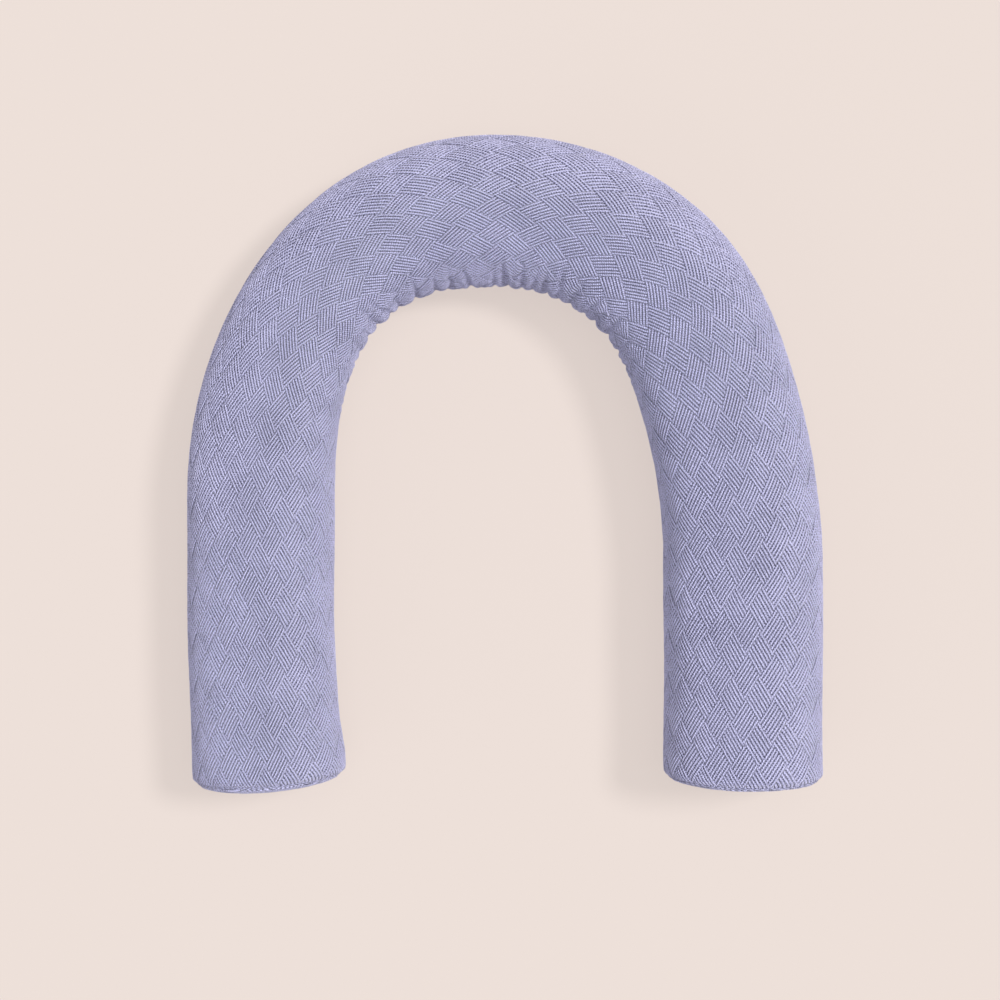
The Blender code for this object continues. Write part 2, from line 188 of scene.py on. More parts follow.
def hump(station, span):
    share = np.clip((station - span[0]) / (span[1] - span[0]), 0.0, 1.0)
    return np.sin(np.pi * share) ** 2


def unit(vectors):
    return vectors / np.linalg.norm(vectors, axis=-1, keepdims=True)


def plain_axis(station):
    """The axis in plan without its sway, from station -2 at the left end to 2 at the right end."""
    side = np.where(station < 0, -1.0, 1.0)
    turn = np.radians(90) * np.minimum(np.abs(station), 1.0)
    leg = np.maximum(np.abs(station) - 1.0, 0.0)
    lean = np.where(station < 0, LEFT_LEG_LEAN * leg * leg, 0.0)
    x = side * ARCH_HALF_WIDTH * np.sin(turn) + lean
    y = ARCH_RISE * np.cos(turn) - LEG_LENGTH * leg
    return MIDDLE + np.stack([x, y], axis=-1)


def away_of(line, station):
    """The level unit vector square to a line of stations, away from the waist."""
    ahead = unit(line(station + 1e-4) - line(station - 1e-4))
    return np.stack([-ahead[..., 1], ahead[..., 0]], axis=-1)


def swayed_axis(station):
    sway = LEFT_SWAY * hump(station, LEFT_SPAN) + RIGHT_SWAY * hump(station, RIGHT_SPAN)
    return plain_axis(station) + away_of(plain_axis, station) * sway[..., None]


class Axis:
    """The swayed axis at even steps of length, with its sharper changes of bend eased."""

    def __init__(self):
        dense = np.linspace(-AXIS_OVERRUN, AXIS_OVERRUN, AXIS_SAMPLES)
        line = swayed_axis(dense)
        gaps = np.linalg.norm(np.diff(line, axis=0), axis=1)
        travel = np.concatenate([[0.0], np.cumsum(gaps)])
        travel -= np.interp(0.0, dense, travel)
        self.travel = np.arange(travel[0], travel[-1], AXIS_STEP)
        self.station = np.interp(self.travel, travel, dense)
        reach = np.arange(-4 * AXIS_EASE, 4 * AXIS_EASE + AXIS_STEP, AXIS_STEP)
        weight = np.exp(-0.5 * (reach / AXIS_EASE) ** 2)
        weight /= weight.sum()
        even = [np.interp(self.travel, travel, line[:, i]) for i in (0, 1)]
        self.line = np.stack([np.convolve(part, weight, mode="same") for part in even], axis=1)
        ahead = unit(np.gradient(self.line, axis=0))
        self.away = np.stack([-ahead[:, 1], ahead[:, 0]], axis=1)

    def pick(self, travel, field):
        parts = [np.interp(travel, self.travel, field[:, i]) for i in range(field.shape[1])]
        return np.stack(parts, axis=-1)

    def point(self, travel):
        return self.pick(travel, self.line)

    def away_at(self, travel):
        return unit(self.pick(travel, self.away))

    def station_at(self, travel):
        return np.interp(travel, self.travel, self.station)

    def travel_at(self, station):
        return np.interp(station, self.station, self.travel)


def tube_radius(station):
    leg_radius = np.where(station < 0, LEFT_RADIUS, RIGHT_RADIUS)
    plain = CROWN_RADIUS + (leg_radius - CROWN_RADIUS) * smooth(np.abs(station))
    return plain - LEFT_PINCH * hump(station, LEFT_SPAN)


def lumps(station, angle):
    """The filling's slow unevenness, up to about a millimetre."""
    rng = np.random.default_rng(SEED)
    total = 0.0
    for _ in range(LUMP_COUNT):
        turns, along, phase = rng.integers(1, 4), rng.uniform(3.0, 11.0), rng.uniform(0, math.tau)
        total = total + np.sin(turns * angle + along * station + phase)
    return LUMP_HEIGHT * total


def end_reach(station, angle):
    """How far the mouth of each end leans out along the tube."""
    share = smooth((np.abs(station) - END_SPAN[0]) / (END_SPAN[1] - END_SPAN[0]))
    outer, top, back = (
        np.where(station < 0, LEFT_END[key], RIGHT_END[key]) for key in ("outer", "top", "back")
    )
    return share * (outer * np.cos(angle) + top * np.maximum(np.sin(angle), 0.0) ** 1.5 - back)


def flare(travel, angle):
    """The bulge at the inner corner of the left end."""
    near = np.exp(-((travel - START - FLARE_PLACE) / FLARE_LENGTH) ** 2)
    return LEFT_FLARE * near * np.maximum(-np.cos(angle), 0.0) ** 2


def settled(height):
    """Heights under the surface the tube lies on are pressed flat on it."""
    return 0.5 * (height + np.sqrt(height * height + SETTLE_ROUNDING ** 2))


def tube_points(travel, angle, inset=0.0, uneven=1.0):
    """Points of the tube and its outward unit vectors. Angle 0 faces away and 90 degrees up."""
    travel, angle = np.broadcast_arrays(travel, angle)
    station = AXIS.station_at(travel)
    away = AXIS.away_at(travel)
    side = np.where(station < 0, -1.0, 1.0)
    ahead = np.stack([away[..., 1], -away[..., 0]], axis=-1)
    radius = tube_radius(station)
    reach = radius + uneven * (lumps(station, angle) + flare(travel, angle)) - inset
    plan = AXIS.point(travel) + away * (reach * np.cos(angle))[..., None]
    plan = plan + ahead * (side * end_reach(station, angle))[..., None]
    height = settled(radius - SETTLE - inset + reach * np.sin(angle)) + inset
    out = np.concatenate([away * np.cos(angle)[..., None], np.sin(angle)[..., None]], axis=-1)
    return np.concatenate([plan, height[..., None]], axis=-1), out


AXIS = Axis()
START, FINISH = AXIS.travel_at(-2.0), AXIS.travel_at(2.0)
ROWS = SIM_SKIP_ALONG * round((FINISH - START) * STEPS_PER_CELL / CELL_ALONG / SIM_SKIP_ALONG) + 1
COLUMNS = CELLS_AROUND * STEPS_PER_CELL
TRAVEL = np.linspace(START, FINISH, ROWS)
STATIONS = AXIS.station_at(TRAVEL)
STEP_ALONG = (FINISH - START) / (ROWS - 1)
STEP_AROUND = math.tau * CROWN_RADIUS / COLUMNS
CELL_AROUND = STEPS_PER_CELL * STEP_AROUND


def grain_angles(station, columns):
    """Each column's angle. The knit is stretched round the tube's shoulders, and twisted a little
    on the right leg, but not at the seam."""
    plain = columns * (math.tau / COLUMNS)
    plain = plain + GRAIN_SPREAD * np.sin(2.0 * plain) * np.maximum(np.sin(plain), 0.0)
    twist = RIGHT_TWIST * smooth((station - TWIST_SPAN[0]) / (TWIST_SPAN[1] - TWIST_SPAN[0]))
    return plain + twist * 0.5 * (1.0 - np.cos(plain - SEAM_ANGLE))


# ---------------------------------------------------------------- creases and relaxation


def link_ends(points, along, around):
    """The two ends of every link of this many steps along and around."""
    turned = np.roll(points, -around, axis=1)
    return points[: len(points) - along], turned[along:]


def lengths(points, along, around):
    first, second = link_ends(points, along, around)
    return np.linalg.norm(second - first, axis=-1)


def pull(points, along, around, rest, stiffness):
    """Move both ends of every link towards its rest length."""
    first, second = link_ends(points, along, around)
    gap = second - first
    length = np.sqrt((gap * gap).sum(axis=-1))
    move = gap * (0.5 * stiffness * (1.0 - rest / length))[..., None]
    points[: len(points) - along] += move
    points[along:] -= np.roll(move, around, axis=1)


def crease_depth(travel, angle, rng):
    """How deeply the slack cover is folded in, from 0 to about 1: sharp creases inside the arch."""
    inner = -np.cos(angle)
    depth, at = 0.0, -travel.max()
    while at < travel.max():
        at += rng.uniform(*CREASE_GAPS)
        strength = rng.uniform(*CREASE_STRENGTH)
        reach = rng.uniform(*CREASE_REACH)
        lean = rng.uniform(*CREASE_LEAN)
        wander = lean * np.sin(angle) + 0.2 * lean * np.sin(5.0 * angle + 90.0 * at)
        faded = smooth((inner - (1.0 - reach)) / reach)
        depth = depth + strength * faded * np.exp(-np.abs(travel - at - wander) / CREASE_WIDTH)
    return depth


def relax(base, out, travel, angle):
    """Relax the creased, slack cover over the filled tube. Returns how far it moved."""
    rng = np.random.default_rng(SEED)
    bare_along = lengths(base, 1, 0)
    step = STEP_ALONG * SIM_SKIP_ALONG
    squeezed = np.clip(1.0 - bare_along / step, 0.0, 1.0)
    patchy = 1.0 + 0.3 * np.sin(travel[1:] * 61.0 + 1.0) * np.sin(travel[1:] * 23.0)
    squeezed = squeezed * (np.abs(AXIS.station_at(travel[1:])) < SLACK_SPAN)
    slack = SLACK_SHARE * squeezed * (squeezed / squeezed.max()) ** 0.8 * patchy
    rest_along = bare_along * (1.0 + slack)
    rest_around = lengths(base, 0, 1)
    mean_along = 0.5 * (rest_along + np.roll(rest_along, -1, axis=1))
    mean_around = 0.5 * (rest_around[1:] + rest_around[:-1])
    rest_diagonal = np.sqrt(mean_along ** 2 + mean_around ** 2)
    rest_back = np.roll(rest_diagonal, 1, axis=1)
    rest_two = rest_along[1:] + rest_along[:-1]
    rest_two_around = lengths(base, 0, 2)
    looseness = np.zeros(base.shape[:2])
    looseness[1:] += slack
    looseness[:-1] += slack
    looseness = smooth(looseness / looseness.max())
    hold = (HOLD_TIGHT * (1.0 - looseness) + HOLD_SLACK)[..., None]
    station = AXIS.station_at(travel)
    puckered = smooth((station - CREASE_SPAN[0]) / CREASE_FADE)
    puckered = puckered * smooth((CREASE_SPAN[1] - station) / CREASE_FADE)
    folded = looseness * puckered * (CREASE_RISE - CREASE_DEPTH * crease_depth(travel, angle, rng))
    target = base + out * folded[..., None]
    points = target.copy()
    before = points.copy()
    for _ in range(SIM_STEPS):
        moved = points + KEPT_SPEED * (points - before) + PRESSURE * out * looseness[..., None]
        before, points = points, moved
        for _ in range(2):
            pull(points, 1, 0, rest_along, STRETCH_STIFFNESS)
            pull(points, 0, 1, rest_around, STRETCH_STIFFNESS)
            pull(points, 1, 1, rest_diagonal, SHEAR_STIFFNESS)
            pull(points, 1, -1, rest_back, SHEAR_STIFFNESS)
            pull(points, 2, 0, rest_two * BEND_SHORTENING, BEND_STIFFNESS_ALONG)
            pull(points, 0, 2, rest_two_around, BEND_STIFFNESS_AROUND)
        points -= hold * (points - target)
        rise = ((points - base) * out).sum(axis=-1)
        points += out * (np.clip(rise, -SINK_LIMIT, RISE_LIMIT) - rise)[..., None]
        points[0], points[-1] = base[0], base[-1]
    return points - base


def refine(field, factor, axis, closed):
    """Smooth (Catmull-Rom) steps between the rows of a field."""
    field = np.moveaxis(field, axis, 0)
    if closed:
        padded = np.concatenate([field[-1:], field, field[:2]])
    else:
        padded = np.concatenate([field[:1], field, field[-1:]])
    p0, p1, p2, p3 = (padded[i: len(padded) - 3 + i] for i in range(4))
    parts = []
    for i in range(factor):
        t = i / factor
        a = -0.5 * p0 + 1.5 * p1 - 1.5 * p2 + 0.5 * p3
        b = p0 - 2.5 * p1 + 2 * p2 - 0.5 * p3
        c = p2 - p0
        parts.append(((a * t + b) * t + 0.5 * c) * t + p1)
    fine = np.stack(parts, axis=1).reshape(-1, *field.shape[1:])
    if not closed:
        fine = np.concatenate([fine, field[-1:]])
    return np.moveaxis(fine, 0, axis)


# ---------------------------------------------------------------- the knit


def weave_height(i, j):
    """The height of the knit at cell coordinates i and j, which follow the two rib directions."""
    straight = (np.floor(i) + np.floor(j)) % 2 == 0
    across = np.where(straight, j, i) % 1.0
    along = np.where(straight, i, j) % 1.0
    rib = 1.0 - np.abs(2.0 * ((across * RIBS_PER_CELL) % 1.0) - 1.0) ** 3
    cell = 1.0 - np.abs(2.0 * along - 1.0) ** 4
    edge = 1.0 - 0.4 * np.abs(2.0 * across - 1.0) ** 8
    return RIB_HEIGHT * rib * (0.75 + 0.25 * cell) + CELL_HEIGHT * cell * edge


def grid_normals(points):
    """Outward unit normals of a grid that is closed around."""
    along = np.gradient(points, axis=0)
    around = np.roll(points, -1, axis=1) - np.roll(points, 1, axis=1)
    return unit(np.cross(around, along))


def cover_surface():
    """The cover's grid: its points with the knit, seam and opening on it, and its normals."""
    columns = np.arange(COLUMNS)[None, :]
    station = STATIONS[:, None]
    angle = grain_angles(station, columns)
    points, out = tube_points(TRAVEL[:, None], angle)
    pick = (slice(None, None, SIM_SKIP_ALONG), slice(None, None, SIM_SKIP_AROUND))
    moved = relax(points[pick], out[pick], TRAVEL[pick[0], None], angle[pick])
    moved = refine(moved, SIM_SKIP_AROUND, 1, closed=True)
    points = points + refine(moved, SIM_SKIP_ALONG, 0, closed=False)
    from_end = np.minimum(TRAVEL - START, FINISH - TRAVEL)[:, None]
    closing = np.clip(1.0 - from_end / EDGE_ROUNDING, 0.0, 1.0)
    drop = EDGE_DROP * (1.0 - np.sqrt(1.0 - 0.999 * closing ** 2))
    normals = grid_normals(points)
    i = (np.arange(len(STATIONS))[:, None] + columns) / STEPS_PER_CELL
    j = (np.arange(len(STATIONS))[:, None] - columns) / STEPS_PER_CELL
    height = weave_height(i, j) * smooth(from_end / KNIT_EASE) - KNIT_SINK
    seam_gap = (angle - SEAM_ANGLE + math.pi) % math.tau - math.pi
    seam_gap = np.abs(seam_gap) * tube_radius(station)
    opening = opening_rows()[:, None]
    groove = SEAM_DEPTH * np.exp(-(seam_gap / SEAM_WIDTH) ** 2) * (1.0 - opening)
    edge = (OPENING_COLUMNS + 0.5) * STEP_AROUND
    lip = LIP_DROP * np.clip(1.0 - (seam_gap - edge) / LIP_WIDTH, 0.0, 1.2) ** 2 * opening
    height = height * smooth(seam_gap / KNIT_EASE) - groove - lip - drop
    points = points + normals * height[..., None]
    points[..., 2] = np.maximum(points[..., 2], CLOTH_LOWEST)
    return points, normals


def opening_rows():
    """1 on the rows beside the zip's opening and 0 elsewhere, with a short ease."""
    low, high = zip_span()
    y = AXIS.point(TRAVEL)[:, 1]
    inside = np.minimum(y - low, high - y)
    return np.where(STATIONS > 1.0, smooth((inside + OPENING_EASE) / OPENING_EASE), 0.0)


def zip_span():
    """The opening's two ends in y: the outside faces of the stops, and a little clearance."""
    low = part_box("zip_top_stop_lower")[0].y
    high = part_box("zip_bottom_stop")[1].y
    return low - OPENING_MARGIN, high + OPENING_MARGIN


# ---------------------------------------------------------------- meshes


def add_mesh(name, points, faces, material, uv=None):
    """A smooth mesh from arrays. uv holds one pair for each face corner."""
    faces = np.asarray(faces)
    mesh = bpy.data.meshes.new(name)
    mesh.vertices.add(len(points))
    mesh.vertices.foreach_set("co", np.asarray(points, np.float32).ravel())
    sides = faces.shape[1]
    mesh.loops.add(faces.size)
    mesh.loops.foreach_set("vertex_index", faces.astype(np.int32).ravel())
    mesh.polygons.add(len(faces))
    mesh.polygons.foreach_set("loop_start", np.arange(0, faces.size, sides, dtype=np.int32))
    mesh.update(calc_edges=True)
    if uv is not None:
        layer = mesh.uv_layers.new(name="cloth")
        layer.data.foreach_set("uv", np.asarray(uv, np.float32).ravel())
    mesh.materials.append(material)
    mesh.shade_smooth()
    thing = bpy.data.objects.new(name, mesh)
    bpy.context.scene.collection.objects.link(thing)
    return thing


def grid_faces(rows, columns, closed):
    """Corner indices (row, column) of the quads of a grid, turned so that normals face out."""
    across = columns if closed else columns - 1
    m, k = np.meshgrid(np.arange(rows - 1), np.arange(across), indexing="ij")
    m, k = m.ravel(), k.ravel()
    row = np.stack([m, m, m + 1, m + 1], axis=1)
    column = np.stack([k, k + 1, k + 1, k], axis=1)
    return row, column


def make_cover(points, material):
    """The cover's tube. Each quad is split along the local rib, so that ribs stay straight."""
    rows, columns = points.shape[:2]
    row, column = grid_faces(rows, columns, closed=True)
    middle = (row.mean(axis=1) + column.mean(axis=1)) / STEPS_PER_CELL
    back = (row.mean(axis=1) - column.mean(axis=1)) / STEPS_PER_CELL
    straight = (np.floor(middle) + np.floor(back)) % 2 == 0
    seam_column = SEAM_ANGLE / math.tau * COLUMNS + COLUMNS
    in_opening = np.abs(column.mean(axis=1) - seam_column) <= OPENING_COLUMNS + 0.1
    open_row = opening_rows() > 0.99
    kept = ~(in_opening & open_row[row.min(axis=1)] & open_row[row.max(axis=1)])
    corners = np.where(straight[:, None], (0, 1, 2), (0, 1, 3))
    others = np.where(straight[:, None], (0, 2, 3), (1, 2, 3))
    picks = np.stack([corners, others], axis=1)[kept].reshape(-1, 3)
    quad = np.repeat(np.flatnonzero(kept), 2)[:, None]
    tri_row, tri_column = row[quad, picks], column[quad, picks]
    uv = np.stack([tri_row * STEP_ALONG, tri_column * STEP_AROUND], axis=-1)
    faces = tri_row * columns + tri_column % columns
    return add_mesh("cover", points.reshape(-1, 3), faces, material, uv)


def make_tube(name, inset, material):
    """A plain closed bag inside the cover, such as the liner."""
    travel = np.linspace(START, FINISH, BAG_ROWS)[:, None]
    angle = np.linspace(0.0, math.tau, BAG_SIDES, endpoint=False)[None, :]
    points, _ = tube_points(travel, angle, inset=inset, uneven=0.5)
    caps = []
    for end in (points[0], points[-1]):
        middle = end.mean(axis=0)
        rings = []
        for share in (0.9, 0.7, 0.45, 0.2, 0.02):
            ring = middle + (end - middle) * share
            ring[:, 1] -= BAG_DOME * (1.0 - share ** 2)
            rings.append(ring)
        caps.append(rings)
    points = np.concatenate([np.array(caps[0][::-1]), points, np.array(caps[1])])
    points[..., 2] = np.maximum(points[..., 2], inset * 0.5)
    row, column = grid_faces(len(points), BAG_SIDES, closed=True)
    faces = row * BAG_SIDES + column % BAG_SIDES
    uv = np.stack([row * 0.0066, column * 0.0054], axis=-1)
    return add_mesh(name, points.reshape(-1, 3), faces, material, uv)


def make_end_panel(name, edge, ahead, bulge, turned, material):
    """A round panel of the same knit, sewn to the tube's edge and bulged by the filling. Its faces
    are turned where the edge runs the other way round."""
    middle = edge.mean(axis=0)
    share = 1.0 - (np.arange(PANEL_RINGS) / (PANEL_RINGS - 0.5)) ** 1.5
    points = middle + (edge[None] - middle) * share[:, None, None]
    dome = bulge * (1.0 - share ** 3) ** 0.65
    radius = np.linalg.norm(edge - middle, axis=1).mean()
    steps = np.hypot(np.diff(share * radius), np.diff(dome))
    reach = np.concatenate([np.cumsum(steps[::-1])[::-1], [0.0]]) + share[-1] * radius
    across = unit(edge[len(edge) // 4] - middle)
    level = np.cross(across, ahead)
    flat = (edge[None] - middle) * (reach / radius)[:, None, None]
    x, y = flat @ level, flat @ across
    rise = dome[:, None] + PANEL_GAP
    fading = 1.0 - share[:, None] ** 4
    rise = rise + PANEL_LUMP * np.sin(14.0 * x + 3.0) * np.sin(17.0 * y) * fading
    i, j = x / CELL_ALONG + y / CELL_AROUND, x / CELL_ALONG - y / CELL_AROUND
    knit = weave_height(i + WHOLE_CELLS, j + WHOLE_CELLS) * smooth((1.0 - share[:, None]) / 0.03)
    points = points + ahead * (rise + knit)[..., None]
    points[..., 2] = np.maximum(points[..., 2], CLOTH_LOWEST)
    row, column = grid_faces(PANEL_RINGS, len(edge), closed=True)
    if turned:
        row, column = row[:, ::-1], column[:, ::-1]
    wrapped = column % len(edge)
    uv = np.stack([x[row, wrapped] + WHOLE_CELLS * CELL_ALONG, y[row, wrapped]], axis=-1)
    return add_mesh(name, points.reshape(-1, 3), row * len(edge) + wrapped, material, uv)


def make_rope(name, path, radius, material, closed=True, sides=8):
    """A thin round bar along a path."""
    path = np.asarray(path, float)
    ahead = np.roll(path, -1, axis=0) - np.roll(path, 1, axis=0)
    if not closed:
        ahead[0], ahead[-1] = path[1] - path[0], path[-1] - path[-2]
    ahead = unit(ahead)
    up = unit(np.cross(ahead, (0.13, 0.22, 0.97)))
    side = np.cross(ahead, up)
    turn = np.linspace(0.0, math.tau, sides, endpoint=False)
    ring = up[:, None] * np.cos(turn)[None, :, None] + side[:, None] * np.sin(turn)[None, :, None]
    points = path[:, None] + ring * radius
    row, column = grid_faces(len(path) + (1 if closed else 0), sides, closed=True)
    faces = (row % len(path)) * sides + column % sides
    uv = np.stack([row * 0.001, column * 0.001], axis=-1)
    return add_mesh(name, points.reshape(-1, 3), faces, material, uv)


def make_stitches(name, path, normals, stitch, material):
    """A row of short thread stitches along a path on the cloth."""
    length, pitch, radius = stitch
    gaps = np.linalg.norm(np.diff(path, axis=0), axis=1)
    travel = np.concatenate([[0.0], np.cumsum(gaps)])
    centres = np.arange(pitch, travel[-1] - pitch, pitch)
    shape = np.array([-0.5, -0.32, 0.0, 0.32, 0.5]) * length
    rise = np.array([-0.6, 0.35, 0.6, 0.35, -0.6]) * radius
    thick = np.array([0.35, 0.9, 1.0, 0.9, 0.35]) * radius
    at = centres[:, None] + shape[None, :]
    line = np.stack([np.interp(at, travel, path[:, i]) for i in range(3)], axis=-1)
    out = unit(np.stack([np.interp(at, travel, normals[:, i]) for i in range(3)], axis=-1))
    ahead = unit(np.gradient(line, axis=1))
    across = unit(np.cross(ahead, out))
    turn = np.linspace(0.0, math.tau, STITCH_SIDES, endpoint=False)
    ring = across[:, :, None] * np.cos(turn)[:, None] + out[:, :, None] * np.sin(turn)[:, None]
    points = line[:, :, None] + out[:, :, None] * rise[None, :, None, None]
    points = points + ring * thick[None, :, None, None]
    row, column = grid_faces(len(shape), STITCH_SIDES, closed=True)
    one = row * STITCH_SIDES + column % STITCH_SIDES
    start = np.arange(len(centres)) * len(shape) * STITCH_SIDES
    faces = (start[:, None, None] + one[None]).reshape(-1, 4)
    return add_mesh(name, points.reshape(-1, 3), faces, material)


# ---------------------------------------------------------------- materials


class Nodes:
    """Short calls for a material's nodes."""

    def __init__(self, name):
        self.material = bpy.data.materials.new(name)
        self.material.use_nodes = True
        self.tree = self.material.node_tree
        self.shader = self.tree.nodes["Principled BSDF"]

    def put(self, socket, value):
        if isinstance(value, bpy.types.NodeSocket):
            self.tree.links.new(value, socket)
        else:
            socket.default_value = value

    def math(self, operation, first, second=0.0, third=0.0):
        node = self.tree.nodes.new("ShaderNodeMath")
        node.operation = operation
        for socket, value in zip(node.inputs, (first, second, third)):
            self.put(socket, value)
        return node.outputs[0]

    def mix(self, share, first, second):
        node = self.tree.nodes.new("ShaderNodeMix")
        node.data_type = "RGBA"
        self.put(node.inputs["Factor"], share)
        self.put(node.inputs["A"], first)
        self.put(node.inputs["B"], second)
        return node.outputs["Result"]

    def uv(self):
        node = self.tree.nodes.new("ShaderNodeUVMap")
        node.uv_map = "cloth"
        parts = self.tree.nodes.new("ShaderNodeSeparateXYZ")
        self.put(parts.inputs[0], node.outputs[0])
        return node.outputs[0], parts.outputs[0], parts.outputs[1]

    def noise(self, vector, scale, detail=2.0):
        node = self.tree.nodes.new("ShaderNodeTexNoise")
        self.put(node.inputs["Vector"], vector)
        node.inputs["Scale"].default_value = scale
        node.inputs["Detail"].default_value = detail
        return node.outputs["Fac"]

    def bump(self, height, distance, strength=1.0):
        node = self.tree.nodes.new("ShaderNodeBump")
        node.inputs["Strength"].default_value = strength
        node.inputs["Distance"].default_value = distance
        self.put(node.inputs["Height"], height)
        self.put(self.shader.inputs["Normal"], node.outputs[0])

    def set(self, **values):
        for name, value in values.items():
            self.put(self.shader.inputs[name.replace("_", " ")], value)
        return self.material


def knit_material():
    """Jacquard knit: ribs that change direction from cell to cell, with a pit for each stitch. Its
    base colour is darker in the grooves and pits, partly the knit's darker yarn and partly painted
    shade.
    """
    n = Nodes("cover_knit")
    vector, u, v = n.uv()
    drift = n.math("SUBTRACT", n.noise(vector, 160.0, 2.0), 0.5)
    drifted_u = n.math("MULTIPLY_ADD", drift, 0.0012, u)
    across_u = n.math("DIVIDE", drifted_u, STEP_ALONG * STEPS_PER_CELL)
    across_v = n.math("DIVIDE", n.math("MULTIPLY_ADD", drift, 0.0008, v), CELL_AROUND)
    i = n.math("ADD", across_u, across_v)
    j = n.math("SUBTRACT", across_u, across_v)
    cells = n.math("ADD", n.math("FLOOR", i), n.math("FLOOR", j))
    leaning = n.math("FLOORED_MODULO", cells, 2.0)
    swap = n.math("MULTIPLY", leaning, n.math("SUBTRACT", i, j))
    rib = n.math("MULTIPLY", n.math("ADD", j, swap), RIBS_PER_CELL)
    along = n.math("SUBTRACT", i, swap)
    cell_side = math.hypot(CELL_ALONG, CELL_AROUND) / 2
    stagger = n.math("MULTIPLY", n.math("FLOOR", rib), 0.5)
    stitch = n.math("MULTIPLY_ADD", along, cell_side / STITCH_LENGTH, stagger)
    across = n.math("FRACT", rib)
    groove = n.math("ABSOLUTE", n.math("MULTIPLY_ADD", across, 2.0, -1.0))
    groove = n.math("POWER", groove, 2.1)
    pit = n.math("MULTIPLY_ADD", n.math("COSINE", n.math("MULTIPLY", stitch, math.tau)), 0.5, 0.5)
    fibre = n.noise(vector, 680.0, 2.0)
    patch = n.noise(vector, 22.0, 3.0)
    # Grooves, and pits between stitches, darken the base colour: partly the knit's darker yarn,
    # partly painted shade in the recesses. The same depth also lowers the bump.
    depth = n.math("MULTIPLY", groove, n.math("MULTIPLY_ADD", pit, 0.62, 0.50))
    ridge = n.math("SUBTRACT", 1.0, groove)
    shade = n.math("MULTIPLY_ADD", ridge, n.math("MULTIPLY", pit, 0.18), depth)
    shade = n.math("MULTIPLY_ADD", n.math("SUBTRACT", fibre, 0.47), 1.8, shade)
    shade = n.math("MULTIPLY_ADD", n.math("SUBTRACT", patch, 0.5), 0.35, shade)
    clamped = n.math("MINIMUM", n.math("MAXIMUM", shade, 0.0), 1.0)
    colour = n.mix(clamped, KNIT_LIGHT, KNIT_DARK)
    height = n.math("MULTIPLY_ADD", fibre, 0.35, n.math("MULTIPLY", depth, -1.3))
    height = n.math("MULTIPLY_ADD", pit, -0.40, height)
    n.bump(height, 0.0016, 1.0)
    return n.set(Base_Color=colour, Roughness=0.88, Sheen_Weight=0.45, Sheen_Roughness=0.35,
                 Sheen_Tint=(0.86, 0.86, 1.0, 1.0), Specular_IOR_Level=0.2)


def cloth_material(name, colour, scale=1400.0):
    """Plain woven cloth."""
    n = Nodes(name)
    vector, u, v = n.uv()
    warp = n.math("SINE", n.math("MULTIPLY", u, scale * math.tau))
    weft = n.math("SINE", n.math("MULTIPLY", v, scale * math.tau))
    weave = n.math("MULTIPLY", warp, weft)
    worn = n.math("MULTIPLY_ADD", n.noise(vector, 60.0), 0.2, n.math("MULTIPLY", weave, 0.06))
    dark = tuple(c * 0.72 for c in colour[:3]) + (1.0,)
    n.bump(weave, 0.0002, 0.5)
    return n.set(Base_Color=n.mix(worn, colour, dark), Roughness=0.85)


def thread_material():
    n = Nodes("seam_thread")
    return n.set(Base_Color=(0.36, 0.35, 0.54, 1.0), Roughness=0.6, Sheen_Weight=0.2)


def plastic_material():
    n = Nodes("zip_coil")
    return n.set(Base_Color=(0.46, 0.45, 0.62, 1.0), Roughness=0.35)


def metal_material():
    n = Nodes("zip_metal")
    coordinates = n.tree.nodes.new("ShaderNodeTexCoord").outputs["Object"]
    scratch = n.noise(coordinates, 2500.0, 3.0)
    n.bump(scratch, 0.00004, 0.3)
    rough = n.math("MULTIPLY_ADD", scratch, 0.12, 0.26)
    return n.set(Base_Color=(0.63, 0.63, 0.66, 1.0), Metallic=1.0, Roughness=rough)


# ---------------------------------------------------------------- the pieces


def end_pieces(points, normals, material, thread):
    """End panels, the roll of cloth along each round seam, and its stitches."""
    for word, row, inside, facts in (("left", 0, 3, LEFT_END), ("right", -1, -4, RIGHT_END)):
        edge = points[row]
        ahead = unit(np.append(AXIS.point(TRAVEL[row]) - AXIS.point(TRAVEL[row] * 0.99), 0.0))
        turned = word == "left"
        panel = make_end_panel("end_panel_" + word, edge, ahead, facts["bulge"], turned, material)
        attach(panel, word + "_half")
        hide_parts("cover_end_" + word)
        middle = edge.mean(axis=0)
        path = edge + unit(edge - middle) * ROLL_SHIFT + ahead * ROLL_SHIFT
        roll = make_rope("end_seam_" + word, path, ROLL_RADIUS, material)
        lift(roll)
        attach(roll, word + "_half")
        closed = np.concatenate([points[inside], points[inside][:1]])
        facing = np.concatenate([normals[inside], normals[inside][:1]])
        stitches = make_stitches("end_stitches_" + word, closed, facing, END_STITCH, thread)
        lift(stitches)
        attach(stitches, word + "_half")


def lift(thing):
    """Keep a piece above the surface that the pillow lies on."""
    places = np.empty(3 * len(thing.data.vertices), np.float32)
    thing.data.vertices.foreach_get("co", places)
    places[2::3] = np.maximum(places[2::3], np.float32(THREAD_LOWEST))
    thing.data.vertices.foreach_set("co", places)
    thing.data.update()


def bend(thing):
    """Bake the piece's placement into its mesh."""
    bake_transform(thing)


